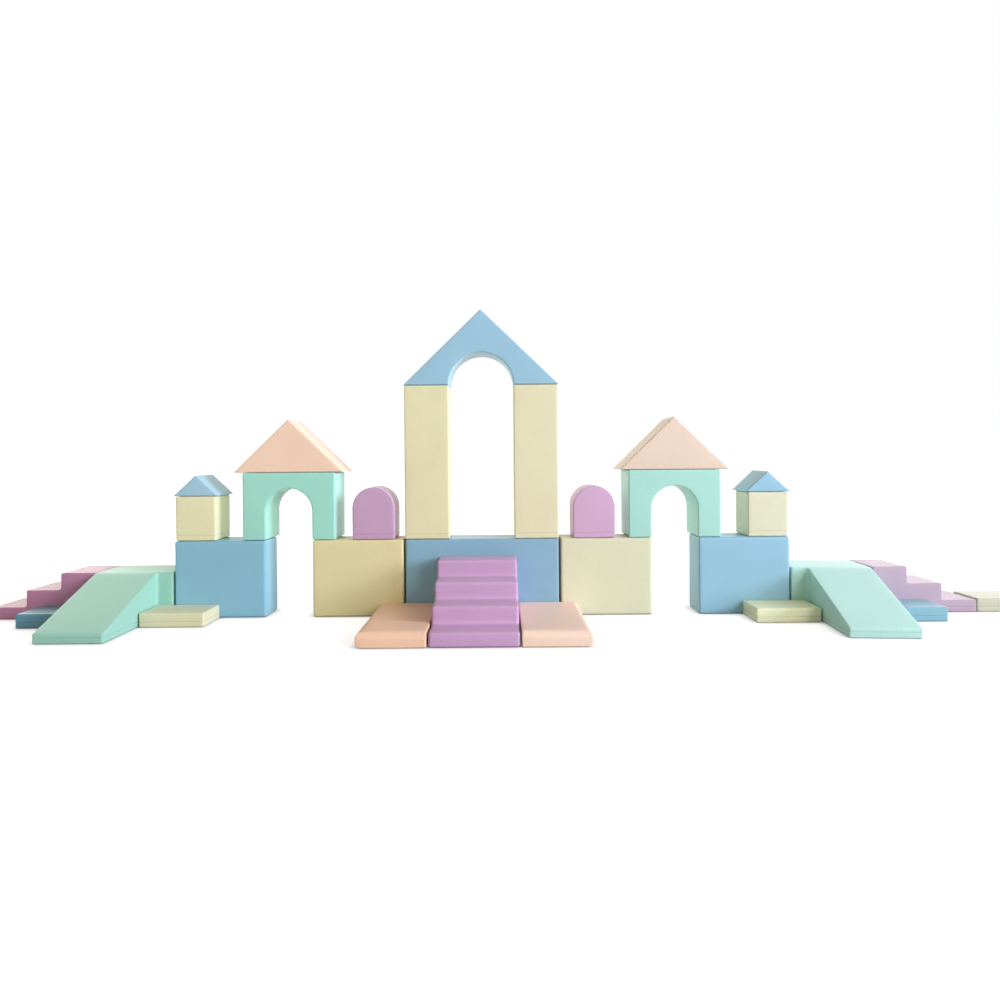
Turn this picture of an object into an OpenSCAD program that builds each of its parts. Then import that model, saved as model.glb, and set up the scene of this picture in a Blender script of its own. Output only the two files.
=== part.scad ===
// Soft-play castle: foam building blocks in sewn covers, stacked as in the photo.
// Millimetres. X runs along the castle, Y from front to back, Z up.
// The origin is the middle of the underside of the centre base block.

/* [Foundation row] */
// Width of the middle base block
centre_base_width = 1000; // [800:10:1300]
// Width of the base block next to the middle one
inner_base_width = 595; // [450:5:800]
// Width of the outermost base block
outer_base_width = 595; // [450:5:800]
// Free way between the inner and outer base blocks
passage_width = 300; // [220:10:400]
// Gap beside the middle base block and between the outer base block and the slide
base_gap = 8; // [1:1:20]
// Height of every base block
base_height = 500; // [350:10:650]
// Depth of base blocks, pillars, gable, domes and cubes
wall_depth = 250; // [200:5:350]

/* [Gateway] */
// Width of one pillar
pillar_width = 290; // [200:5:340]
// Height of one pillar
pillar_height = 1000; // [700:10:1200]
// Height of the gable on the pillars
gable_height = 485; // [400:5:600]

/* [Side gates] */
// Width of one leg of an arch
arch_leg = 150; // [100:5:200]
// Height of an arch
arch_height = 440; // [380:5:560]
// Height of the opening under an arch
arch_opening_height = 335; // [260:5:350]
// Depth of an arch and of the roof on it
gate_depth = 300; // [220:5:350]
// Width of the roof on an arch
gate_roof_width = 700; // [500:10:800]
// Height of the roof on an arch
gate_roof_height = 340; // [250:5:420]

/* [Domes and turrets] */
// Width of a dome block, twice the radius of its top
dome_width = 275; // [200:5:320]
// Height of a dome block
dome_height = 340; // [280:5:450]
// How far the domes stand from the middle of their room, towards the pillars
dome_inward = 10; // [-40:1:40]
// How far both domes stand off to the right
dome_offset = 12; // [-50:1:50]
// Width of a turret cube
cube_width = 260; // [180:5:300]
// Height of a turret cube
cube_height = 290; // [200:5:350]
// Distance from the outer end of the base to the turret cube
cube_inset = 11; // [5:1:60]
// Width of a turret roof
turret_roof_width = 280; // [220:5:320]
// Height of a turret roof
turret_roof_height = 130; // [90:5:180]
// Depth of a turret roof
turret_roof_depth = 280; // [220:5:320]

/* [Entry] */
// Width of the stairs
stair_width = 500; // [400:10:640]
// Number of steps in the stairs
stair_count = 4; // [3:1:4]
// Depth of one tread of the stairs
stair_tread = 190; // [150:5:260]
// Height of one step of the stairs above the lowest
stair_rise = 102; // [70:1:120]
// Height of the lowest step of the stairs
first_stair_step = 85; // [60:5:120]
// Sideways place of the stairs from the middle of the castle
entry_offset = -27; // [-40:1:40]
// Width of a front mat
front_mat_width = 390; // [300:10:480]
// Thickness of every mat
mat_thickness = 90; // [70:5:140]
// Cut of the outer top edge of a front mat
front_mat_nose = 24; // [8:1:40]

/* [Slides and side steps] */
// Width of a slide's landing
landing_width = 505; // [430:5:600]
// Depth of a slide's landing and of the side steps
landing_depth = 320; // [260:10:420]
// Height of a slide's landing
landing_height = 300; // [220:10:400]
// Width of a slide's ramp
ramp_width = 400; // [300:10:420]
// Length of a slide's ramp on the floor
ramp_run = 620; // [450:10:800]
// Height of the ramp's lower end
toe_height = 60; // [30:5:90]
// Turn of the right slide towards the middle, in degrees
slide_turn = 4; // [0:0.5:6]
// How far back the right slide stands
slide_back = 5.7; // [0:0.1:20]
// Number of side steps
side_step_count = 3; // [2:1:4]
// Depth of one tread of the side steps
side_tread = 225; // [160:5:280]
// Height of the lowest side step
first_side_step = 80; // [60:5:120]

/* [Small mats] */
// Long side of the inner mats and of the end mat
small_mat_length = 400; // [300:10:480]
// Short side of a small mat
small_mat_width = 250; // [180:5:320]
// Long side of the mats beside the outer edge of a slide
outer_mat_length = 350; // [300:10:450]

/* [Covers] */
// Wall of a cover: artificial leather with its bonded soft lining
cover_wall = 6; // [3:0.5:10]
// Softened edge of a cover
edge_soften = 6.5; // [5:0.5:20]
// Blunt tip of the roofs and of the gable
roof_tip = 8; // [4:0.5:10]
// Clearance between a foam core and the lining, at the sides and top
core_fit = 0.4; // [0.2:0.1:1.5]
// Gap between a slide and the side steps and outer mat beside it
block_gap = 0.5; // [0.2:0.1:4]
// Gap between a mat and the stairs or the ramp on its inner side
mat_gap = 8; // [2:1:20]

/* [Zips] */
// Height of the zip above the underside of a block
zip_level = 30; // [20:1:40]
// Height of the zip slot
zip_height = 10; // [6:1:14]
// Thickness of the zip chain
zip_chain = 2.5; // [1:0.5:2.5]
// Distance of the zip's ends from the ends of a block
zip_margin = 40; // [25:5:60]
// Length of the zip slider
slider_length = 16; // [10:1:24]
// Height of the gable's zip above its opening
gable_zip_rise = 80; // [60:5:120]

/* [Hidden] */
blue = "#9DBFD6";
cream = "#E3DEBE";
lilac = "#C3A0CC";
mint = "#A9DDCF";
peach = "#EFCFBF";
foam = "#F2EFE6";
cut_over = 1;
least_cut = 1;
wall_front = -wall_depth / 2;
inner_base_start = centre_base_width / 2 + base_gap;
inner_base_end = inner_base_start + inner_base_width;
outer_base_start = inner_base_end + passage_width;
outer_base_end = outer_base_start + outer_base_width;
gate_x = inner_base_end + passage_width / 2;
gate_width = passage_width + 2 * arch_leg;
door_radius = centre_base_width / 2 - pillar_width;
dome_x = (centre_base_width / 2 + gate_x - gate_width / 2) / 2 - dome_inward;
turret_x = outer_base_end - cube_inset - cube_width / 2;
pillar_x = centre_base_width / 2 - pillar_width / 2;
stair_run = stair_count * stair_tread;
front_mat_x = stair_width / 2 + mat_gap + front_mat_width / 2;
slide_start = outer_base_end + base_gap;
slide_end = slide_start + landing_width;
ramp_start = slide_end - ramp_width;
ramp_angle = atan((landing_height - toe_height) / ramp_run);
steps_run = side_step_count * side_tread;
side_rise = (landing_height - first_side_step) / (side_step_count - 1);
turned_y = wall_front + edge_soften;
turned_back = slide_back - edge_soften;
turned_reach = landing_width * cos(slide_turn) + (landing_depth + turned_back) * sin(slide_turn);
right_steps_end = slide_start + turned_reach + block_gap + steps_run;
mat_front = wall_front - small_mat_width;
left_inner_mat_x = -(ramp_start - mat_gap - small_mat_length / 2);
left_outer_mat_x = -(slide_end + block_gap + outer_mat_length / 2);
right_inner_mat_x = turned_side(ramp_start, mat_front + edge_soften) - mat_gap - small_mat_length / 2;
right_outer_mat_x = turned_side(slide_end, wall_front - edge_soften) + block_gap + outer_mat_length / 2;
end_mat_x = right_steps_end + small_mat_length / 2;
gate_zip_level = arch_opening_height + (arch_height - arch_opening_height) / 2;
gable_zip_level = door_radius + gable_zip_rise;
ramp_root = landing_depth / 4;

// The sub-part to draw, or all of them

// Rectangle from the origin with its four corners cut off
function cut_rect(a, b, c) =
  [[c, 0], [a - c, 0], [a, c], [a, b - c], [a - c, b], [c, b], [0, b - c], [0, c]];

// Isosceles triangle on the X axis, w wide and h high over its blunt corners, drawn in by i
function roof_points(w, h, i, low, b) =
  let (t = atan((h - b) / (w / 2 - b)))
  let (xe = w / 2 - low / tan(t) - i / sin(t))
  let (xt = b + i / tan(t) - i / sin(t))
  [[-xe, low], [xe, low], [xe, low + b], [xt, h - i], [-xt, h - i], [-xe, low + b]];

// Steps that rise along the first coordinate, drawn in by i, with cut nosings;
// the lowest is first high, the others rise
function step_points(n, tread, first, rise, i, low, c) = concat(
  [[n * tread - i, low], [i, low]],
  [for (k = [0 : n - 1]) each concat(
    k == 0 ? [] : [[k * tread + i, first + (k - 1) * rise - i]],
    [[i + k * tread, first + k * rise - i - c], [i + k * tread + c, first + k * rise - i]])],
  [[n * tread - i, first + (n - 1) * rise - i]]);

// Place along X where an upright side of the turned slide, at x before the turn, meets Y = y
function turned_side(x, y) =
  slide_start + (x - slide_start) / cos(slide_turn) + (y - turned_y) * tan(slide_turn);

// Length of a zip at one level of a roof, w wide and h high
function zip_span(w, h, level) = w * (1 - (level + zip_height) / h) - 2 * zip_margin;

// Stretches a flat shape, drawn in X and Z, from y0 back to y1
module along_y(y0, y1) translate([0, y1, 0]) rotate([90, 0, 0]) linear_extrude(y1 - y0) children();

// Stretches a flat shape, drawn in Y and Z, from x0 to x1
module along_x(x0, x1) translate([x0, 0, 0]) rotate([90, 0, 90]) linear_extrude(x1 - x0) children();

module on_left() mirror([1, 0, 0]) children();

// Edge cut c of a form drawn in by i, so that the wall stays even on the slanted edges
function drawn_cut(c, i) = max(least_cut, c - i * (2 - sqrt(2)));

// One size of a block's form: i is how far its walls are drawn in, low its underside,
// $soft the cut of its edges
module drawn_in(i, low) {
  $inset = i;
  $low = low;
  $soft = drawn_cut(edge_soften, i);
  children();
}

// Box that stands on the origin, with its front at Y = 0 and X in the middle
module box_form(w, d, h) {
  a = w - 2 * $inset;
  b = d - 2 * $inset;
  e = h - $inset - $low;
  translate([-a / 2, $inset, $low]) intersection() {
    linear_extrude(e) polygon(cut_rect(a, b, $soft));
    along_x(0, a) polygon(cut_rect(b, e, $soft));
    along_y(0, b) polygon(cut_rect(a, e, $soft));
  }
}

module dome_form() along_y($inset, wall_depth - $inset) {
  translate([-dome_width / 2 + $inset, $low])
    square([dome_width - 2 * $inset, dome_height - dome_width / 2 - $low]);
  translate([0, dome_height - dome_width / 2]) circle(dome_width / 2 - $inset);
}

module roof_form(w, d, h) along_y($inset, d - $inset)
  polygon(roof_points(w, h, $inset, $low, roof_tip));

module gable_form() along_y($inset, wall_depth - $inset) difference() {
  polygon(roof_points(centre_base_width, gable_height, $inset, $low, roof_tip));
  circle(door_radius + $inset);
}

module arch_form() along_y($inset, gate_depth - $inset) difference() {
  translate([-gate_width / 2 + $inset, $low])
    polygon(cut_rect(gate_width - 2 * $inset, arch_height - $inset - $low, $soft));
  translate([-passage_width / 2 - $inset, -cut_over])
    square([passage_width + 2 * $inset, arch_opening_height - passage_width / 2 + cut_over]);
  translate([0, arch_opening_height - passage_width / 2]) circle(passage_width / 2 + $inset);
}

module stairs_form() along_x(-stair_width / 2 + $inset, stair_width / 2 - $inset)
  polygon(step_points(stair_count, stair_tread, first_stair_step, stair_rise, $inset, $low, $soft));

module side_steps_form() along_y($inset, landing_depth - $inset) mirror([1, 0])
  polygon(step_points(side_step_count, side_tread, first_side_step, side_rise, $inset, $low, $soft));

module slide_form() {
  s = $inset / cos(ramp_angle);
  t = tan(ramp_angle);
  translate([slide_start + $inset, $inset, $low])
    cube([landing_width - 2 * $inset, landing_depth - 2 * $inset, landing_height - $inset - $low]);
  along_x(ramp_start + $inset, slide_end - $inset) polygon([
    [-ramp_run + $inset, $low], [ramp_root, $low],
    [ramp_root, landing_height - $inset],
    [(landing_height - toe_height - $inset + s) / t - ramp_run, landing_height - $inset],
    [-ramp_run + $inset + $soft, toe_height + ($inset + $soft) * t - s],
    [-ramp_run + $inset, toe_height + $inset * t - s - $soft]]);
}

// Sewn cover: hollow, with its zip sewn into the back wall, which lies at Y = back
module cover(back, level, length, at = 0) {
  difference() {
    drawn_in(0, 0) children();
    drawn_in(cover_wall, cover_wall) children();
    translate([at - length / 2, back - cover_wall - cut_over, level])
      cube([length, cover_wall + 2 * cut_over, zip_height]);
  }
  translate([at - length / 2, back - cover_wall, level]) cube([length, zip_chain, zip_height]);
  translate([at - length / 2, back - cover_wall + zip_chain, level])
    cube([slider_length, cover_wall - zip_chain, zip_height]);
}

// Foam core: rests on the cover's underside and stays clear of its other walls
module core() color(foam) drawn_in(cover_wall + core_fit, cover_wall) children();

module base_cover(w) cover(wall_depth, zip_level, w - 2 * zip_margin)
  box_form(w, wall_depth, base_height);
module base_core(w) core() box_form(w, wall_depth, base_height);
module pillar_form() box_form(pillar_width, wall_depth, pillar_height);
module cube_form() box_form(cube_width, wall_depth, cube_height);
module front_mat_form() {
  nose = drawn_cut(front_mat_nose, $inset);
  side = front_mat_width / 2 - $inset;
  top = mat_thickness - $inset;
  difference() {
    box_form(front_mat_width, stair_run, mat_thickness);
    along_y(-cut_over, stair_run + cut_over) polygon([
      [side - nose, top], [side, top - nose],
      [side + cut_over, top - nose], [side + cut_over, top + cut_over], [side - nose, top + cut_over]]);
  }
}
module small_mat_form() box_form(small_mat_length, small_mat_width, mat_thickness);
module outer_mat_form() box_form(outer_mat_length, small_mat_width, mat_thickness);
module gate_roof_form() roof_form(gate_roof_width, gate_depth, gate_roof_height);
module turret_roof_form() roof_form(turret_roof_width, turret_roof_depth, turret_roof_height);

module at_centre_base() translate([0, wall_front, 0]) children();
module at_inner_base() translate([inner_base_start + inner_base_width / 2, wall_front, 0]) children();
module at_outer_base() translate([outer_base_start + outer_base_width / 2, wall_front, 0]) children();
module at_pillar() translate([pillar_x, wall_front, base_height]) children();
module at_gable() translate([0, wall_front, base_height + pillar_height]) children();
module at_dome(side) translate([side * dome_x + dome_offset, wall_front, base_height]) children();
module at_arch() translate([gate_x, wall_front, base_height]) children();
module at_gate_roof() translate([gate_x, wall_front, base_height + arch_height]) children();
module at_cube() translate([turret_x, wall_front, base_height]) children();
module at_turret_roof() translate([turret_x, wall_front, base_height + cube_height]) children();
module at_stairs() translate([entry_offset, wall_front - stair_run, 0]) children();
module at_left_slide() on_left() translate([0, wall_front, 0]) children();
module at_right_slide() translate([slide_start, turned_y, 0]) rotate([0, 0, -slide_turn])
  translate([-slide_start, turned_back, 0]) children();
module at_left_side_steps() on_left() translate([slide_end + steps_run, wall_front, 0]) children();
module at_right_side_steps() translate([right_steps_end, wall_front, 0]) children();
module at_mat(x) translate([x, mat_front, 0]) children();
module at_end_mat() translate([end_mat_x, wall_front, 0]) children();
module at_right_front_mat()
  translate([entry_offset + front_mat_x, wall_front - stair_run, 0]) children();
module at_left_front_mat()
  translate([entry_offset - front_mat_x, wall_front - stair_run, 0]) on_left() children();

module dome_cover() color(lilac)
  cover(wall_depth, zip_level, dome_width - 2 * zip_margin) dome_form();
module pillar_cover() color(cream) at_pillar()
  cover(wall_depth, zip_level, pillar_width - 2 * zip_margin) pillar_form();
module pillar_core() at_pillar() core() pillar_form();
module arch_cover() color(mint) at_arch()
  cover(gate_depth, gate_zip_level, gate_width - 2 * zip_margin) arch_form();
module arch_core() at_arch() core() arch_form();
module gate_roof_cover() color(peach) at_gate_roof()
  cover(gate_depth, zip_level, zip_span(gate_roof_width, gate_roof_height, zip_level)) gate_roof_form();
module gate_roof_core() at_gate_roof() core() gate_roof_form();
module cube_cover() color(cream) at_cube()
  cover(wall_depth, zip_level, cube_width - 2 * zip_margin) cube_form();
module cube_core() at_cube() core() cube_form();
module turret_roof_cover() color(blue) at_turret_roof()
  cover(turret_roof_depth, zip_level, zip_span(turret_roof_width, turret_roof_height, zip_level))
    turret_roof_form();
module turret_roof_core() at_turret_roof() core() turret_roof_form();
module slide_cover() color(mint)
  cover(landing_depth, zip_level, landing_width - 2 * zip_margin, slide_start + landing_width / 2)
    slide_form();
module side_steps_cover() color(lilac)
  cover(landing_depth, zip_level, steps_run - 2 * zip_margin, -steps_run / 2) side_steps_form();
module small_mat_cover() color(cream)
  cover(small_mat_width, zip_level, small_mat_length - 2 * zip_margin) small_mat_form();
module outer_mat_cover() color(blue)
  cover(small_mat_width, zip_level, outer_mat_length - 2 * zip_margin) outer_mat_form();
module front_mat_cover() color(peach)
  cover(stair_run, zip_level, front_mat_width - 2 * zip_margin) front_mat_form();

module centre_base_cover() color(blue) at_centre_base() base_cover(centre_base_width);
module right_inner_base_cover() color(cream) at_inner_base() base_cover(inner_base_width);
module left_inner_base_cover() on_left() right_inner_base_cover();
module right_outer_base_cover() color(blue) at_outer_base() base_cover(outer_base_width);
module left_outer_base_cover() on_left() right_outer_base_cover();
module centre_base_core() at_centre_base() base_core(centre_base_width);
module right_inner_base_core() at_inner_base() base_core(inner_base_width);
module left_inner_base_core() on_left() right_inner_base_core();
module right_outer_base_core() at_outer_base() base_core(outer_base_width);
module left_outer_base_core() on_left() right_outer_base_core();
module stairs_cover() color(lilac) at_stairs()
  cover(stair_run, zip_level, stair_width - 2 * zip_margin) stairs_form();
module stairs_core() at_stairs() core() stairs_form();
module right_front_mat_cover() at_right_front_mat() front_mat_cover();
module right_front_mat_core() at_right_front_mat() core() front_mat_form();
module left_front_mat_cover() at_left_front_mat() front_mat_cover();
module left_front_mat_core() at_left_front_mat() core() front_mat_form();
module right_pillar_cover() pillar_cover();
module right_pillar_core() pillar_core();
module left_pillar_cover() on_left() pillar_cover();
module left_pillar_core() on_left() pillar_core();
module gable_cover() color(blue) at_gable()
  cover(wall_depth, gable_zip_level, zip_span(centre_base_width, gable_height, gable_zip_level))
    gable_form();
module gable_core() at_gable() core() gable_form();
module right_dome_cover() at_dome(1) dome_cover();
module right_dome_core() at_dome(1) core() dome_form();
module left_dome_cover() at_dome(-1) dome_cover();
module left_dome_core() at_dome(-1) core() dome_form();
module right_arch_cover() arch_cover();
module right_arch_core() arch_core();
module left_arch_cover() on_left() arch_cover();
module left_arch_core() on_left() arch_core();
module right_gate_roof_cover() gate_roof_cover();
module right_gate_roof_core() gate_roof_core();
module left_gate_roof_cover() on_left() gate_roof_cover();
module left_gate_roof_core() on_left() gate_roof_core();
module right_cube_cover() cube_cover();
module right_cube_core() cube_core();
module left_cube_cover() on_left() cube_cover();
module left_cube_core() on_left() cube_core();
module right_turret_roof_cover() turret_roof_cover();
module right_turret_roof_core() turret_roof_core();
module left_turret_roof_cover() on_left() turret_roof_cover();
module left_turret_roof_core() on_left() turret_roof_core();
module right_slide_cover() at_right_slide() slide_cover();
module right_slide_core() at_right_slide() core() slide_form();
module left_slide_cover() at_left_slide() slide_cover();
module left_slide_core() at_left_slide() core() slide_form();
module right_side_steps_cover() at_right_side_steps() side_steps_cover();
module right_side_steps_core() at_right_side_steps() core() side_steps_form();
module left_side_steps_cover() at_left_side_steps() side_steps_cover();
module left_side_steps_core() at_left_side_steps() core() side_steps_form();
module right_inner_mat_cover() at_mat(right_inner_mat_x) small_mat_cover();
module right_inner_mat_core() at_mat(right_inner_mat_x) core() small_mat_form();
module left_inner_mat_cover() at_mat(left_inner_mat_x) small_mat_cover();
module left_inner_mat_core() at_mat(left_inner_mat_x) core() small_mat_form();
module right_outer_mat_cover() at_mat(right_outer_mat_x) outer_mat_cover();
module right_outer_mat_core() at_mat(right_outer_mat_x) core() outer_mat_form();
module left_outer_mat_cover() at_mat(left_outer_mat_x) outer_mat_cover();
module left_outer_mat_core() at_mat(left_outer_mat_x) core() outer_mat_form();
module right_end_mat_cover() at_end_mat() small_mat_cover();
module right_end_mat_core() at_end_mat() core() small_mat_form();

centre_base_cover();
left_inner_base_cover();
right_inner_base_cover();
left_outer_base_cover();
right_outer_base_cover();
centre_base_core();
left_inner_base_core();
right_inner_base_core();
left_outer_base_core();
right_outer_base_core();
stairs_cover();
stairs_core();
left_front_mat_cover();
left_front_mat_core();
right_front_mat_cover();
right_front_mat_core();
left_pillar_cover();
left_pillar_core();
right_pillar_cover();
right_pillar_core();
gable_cover();
gable_core();
left_dome_cover();
left_dome_core();
right_dome_cover();
right_dome_core();
left_arch_cover();
left_arch_core();
right_arch_cover();
right_arch_core();
left_gate_roof_cover();
left_gate_roof_core();
right_gate_roof_cover();
right_gate_roof_core();
left_cube_cover();
left_cube_core();
right_cube_cover();
right_cube_core();
left_turret_roof_cover();
left_turret_roof_core();
right_turret_roof_cover();
right_turret_roof_core();
left_slide_cover();
left_slide_core();
right_slide_cover();
right_slide_core();
left_side_steps_cover();
left_side_steps_core();
right_side_steps_cover();
right_side_steps_core();
left_inner_mat_cover();
left_inner_mat_core();
right_inner_mat_cover();
right_inner_mat_core();
left_outer_mat_cover();
left_outer_mat_core();
right_outer_mat_cover();
right_outer_mat_core();
right_end_mat_cover();
right_end_mat_core();
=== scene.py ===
import math

import bmesh
import bpy
import numpy as np
from mathutils import Matrix, Vector


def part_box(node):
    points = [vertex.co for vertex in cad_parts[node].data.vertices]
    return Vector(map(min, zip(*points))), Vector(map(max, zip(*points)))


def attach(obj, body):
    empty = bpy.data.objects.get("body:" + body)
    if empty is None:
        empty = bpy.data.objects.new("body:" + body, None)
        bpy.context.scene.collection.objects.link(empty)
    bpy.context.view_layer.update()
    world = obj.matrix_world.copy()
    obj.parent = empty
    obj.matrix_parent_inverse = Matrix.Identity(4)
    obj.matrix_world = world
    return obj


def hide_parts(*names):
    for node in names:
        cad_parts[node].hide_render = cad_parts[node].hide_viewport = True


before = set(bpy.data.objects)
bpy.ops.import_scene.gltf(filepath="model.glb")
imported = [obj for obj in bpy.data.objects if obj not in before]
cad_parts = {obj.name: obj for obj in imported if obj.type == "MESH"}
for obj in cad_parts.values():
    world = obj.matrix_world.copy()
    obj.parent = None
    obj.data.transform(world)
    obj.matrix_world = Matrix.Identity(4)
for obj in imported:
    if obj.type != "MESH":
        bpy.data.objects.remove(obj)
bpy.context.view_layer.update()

scene = bpy.context.scene
scene.view_settings.view_transform = "Standard"
print("castle: frame loaded,", len(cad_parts), "nodes")

# where the photo was taken from: level, a little right of the middle
photoCamera = {
    "place": (0.1207, -4.65, 1.036),
    "sensor": 36,
    "focal": 0.6979,      # focal length as a share of the picture's width
    "shift": -0.044,      # the picture hangs a little below the level line
    "roll": 0.00796,
}


def setCamera(spec):
    bpy.ops.object.select_all(action="DESELECT")
    bpy.ops.object.camera_add(location=spec["place"], rotation=(math.pi / 2, spec["roll"], 0))
    camera = bpy.context.active_object
    camera.name = "photoCamera"
    camera.data.sensor_width = spec["sensor"]
    camera.data.lens = spec["sensor"] * spec["focal"]
    camera.data.shift_y = spec["shift"]
    camera.data.clip_end = 200
    scene.camera = camera


setCamera(photoCamera)
print("castle: camera placed")


# shared steps of the modelling

making = {
    "snap": 0.00002,               # a cut this close to a point runs through it
    "onPlane": 0.001,              # points this close to a plane lie on it
    "facing": 0.9,                 # share of a normal from which a face looks along an axis
    "sharp": math.radians(25),     # edges sharper than this are sewn
    "overcut": 0.1,                # how much longer a cutter is than its block
    "seamSteps": 4,                # faces across a rounded seam
    "noseSteps": 7,                # and across the nose of a mat
}


def startBox(name, low, high):
    bpy.ops.object.select_all(action="DESELECT")
    middle = [(a + b) / 2 for a, b in zip(low, high)]
    size = [b - a for a, b in zip(low, high)]
    bpy.ops.mesh.primitive_cube_add(size=1, location=middle, scale=size)
    bpy.ops.object.transform_apply(location=True, rotation=True, scale=True)
    block = bpy.context.active_object
    block.name = name
    return block


def startRod(name, middle, radius, length, sides=64):
    bpy.ops.object.select_all(action="DESELECT")
    bpy.ops.mesh.primitive_cylinder_add(
        vertices=sides, radius=radius, depth=length, location=middle, rotation=(math.pi / 2, 0, 0))
    bpy.ops.object.transform_apply(location=True, rotation=True, scale=True)
    rod = bpy.context.active_object
    rod.name = name
    return rod


def pickOnly(block):
    bpy.ops.object.select_all(action="DESELECT")
    bpy.context.view_layer.objects.active = block
    block.select_set(True)


def applyModifier(block, modifier):
    pickOnly(block)
    bpy.ops.object.modifier_apply(modifier=modifier.name)


def openMesh(block):
    pickOnly(block)
    bpy.ops.object.mode_set(mode="EDIT")
    bpy.ops.mesh.select_mode(type="VERT")


def closeMesh():
    bpy.ops.object.mode_set(mode="OBJECT")


def pickFaces(block, wanted):
    bpy.ops.mesh.select_mode(type="FACE")
    bpy.ops.mesh.select_all(action="DESELECT")
    mesh = bmesh.from_edit_mesh(block.data)
    mesh.normal_update()
    for face in mesh.faces:
        if wanted(face.calc_center_median(), face.normal):
            face.select_set(True)
    bmesh.update_edit_mesh(block.data)


def pickPoints(block, wanted):
    bpy.ops.mesh.select_mode(type="VERT")
    bpy.ops.mesh.select_all(action="DESELECT")
    mesh = bmesh.from_edit_mesh(block.data)
    for point in mesh.verts:
        if wanted(point.co):
            point.select_set(True)
    mesh.select_flush(True)
    bmesh.update_edit_mesh(block.data)


def cutThrough(place, normal, cut=None):
    bpy.ops.mesh.select_mode(type="VERT")
    bpy.ops.mesh.select_all(action="SELECT")
    bpy.ops.mesh.bisect(
        plane_co=place, plane_no=normal, threshold=making["snap"], use_fill=cut is not None,
        clear_outer=cut == "outer", clear_inner=cut == "inner")


def pushOut(offset):
    bpy.ops.mesh.extrude_region_move(TRANSFORM_OT_translate={"value": offset})


def carve(block, cutter):
    tool = block.modifiers.new("opening", "BOOLEAN")
    tool.operation = "DIFFERENCE"
    tool.solver = "EXACT"
    tool.object = cutter
    applyModifier(block, tool)
    bpy.data.objects.remove(cutter, do_unlink=True)


# block forms: each one is drawn inside its CAD solid by the given inset

def modelBox(spec):
    low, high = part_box(spec["model"])
    if spec.get("flip"):
        low.x, high.x = -high.x, -low.x
    return low, high


def boxForm(name, spec, inset):
    low, high = modelBox(spec)
    edge = Vector((inset + spec.get("slack", 0.0), inset, inset))
    return startBox(name, low + edge, high - edge)


def roofForm(name, spec, inset):
    low, high = modelBox(spec)
    half, rise, tip = (high.x - low.x) / 2, high.z - low.z, spec["tip"]
    middle = (low.x + high.x) / 2
    steep = (rise - tip) / (half - tip)
    wide = half + tip / steep
    # the ridge stays sharp, a few millimetres past the flattened tip of the solid
    block = startBox(
        name, (middle - wide, low.y + inset, low.z + inset),
        (middle + wide, high.y - inset, high.z + tip * steep))
    openMesh(block)
    for side in (1, -1):
        lean = Vector((side * (rise - tip), 0, half - tip)).normalized()
        at = Vector((middle + side * half, low.y, low.z + tip)) - lean * inset
        cutThrough(at, lean, "outer")
    closeMesh()
    return block


def gableForm(name, spec, inset):
    block = roofForm(name, spec, inset)
    low, high = modelBox(spec)
    middle = ((low.x + high.x) / 2, (low.y + high.y) / 2, low.z)
    length = high.y - low.y + making["overcut"]
    carve(block, startRod("gatewayCutter", middle, spec["opening"] + inset, length, sides=96))
    return block


def domeForm(name, spec, inset, cutter=False):
    low, high = spec["hole"] if cutter else modelBox(spec)
    over = making["overcut"] if cutter else 0.0
    radius = (high.x - low.x) / 2
    spring = high.z - radius
    middle = ((low.x + high.x) / 2, (low.y + high.y) / 2, spring)
    block = startRod(name, middle, radius - inset, high.y - low.y - 2 * inset + over)
    openMesh(block)
    cutThrough(middle, (0, 0, 1), "inner")
    pickFaces(block, lambda spot, normal: normal.z < -making["facing"])
    drop = spring - low.z - inset + 2 * over
    pushOut((0, 0, -drop))
    closeMesh()
    return block


def archForm(name, spec, inset):
    low, high = modelBox(spec)
    middle = (low.x + high.x) / 2
    half, top = spec["openingWidth"] / 2, spec["openingHeight"]
    block = boxForm(name, spec, inset)
    spec["hole"] = (
        Vector((middle - half, low.y, low.z)), Vector((middle + half, high.y, low.z + top)))
    carve(block, domeForm("passageCutter", spec, -inset, cutter=True))
    return block


def stepsForm(name, spec, inset):
    low, high = modelBox(spec)
    levels = spec["levels"]
    axis, sense = spec["climb"]
    tread = (high[axis] - low[axis]) / len(levels)
    first = low[axis] if sense > 0 else high[axis]
    edge = Vector((inset, inset, inset))
    block = startBox(name, low + edge, Vector((high.x, high.y, low.z + levels[0])) - edge)
    openMesh(block)
    for step in range(1, len(levels)):
        riser = first + sense * step * tread + sense * inset
        place, across = Vector((0, 0, 0)), Vector((0, 0, 0))
        place[axis], across[axis] = riser, 1
        cutThrough(place, across)
        top = low.z + levels[step - 1] - inset - making["onPlane"]
        pickFaces(block, lambda spot, normal: (
            normal.z > making["facing"] and spot.z > top and sense * spot[axis] > sense * riser))
        pushOut((0, 0, levels[step] - levels[step - 1]))
    closeMesh()
    return block


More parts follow.
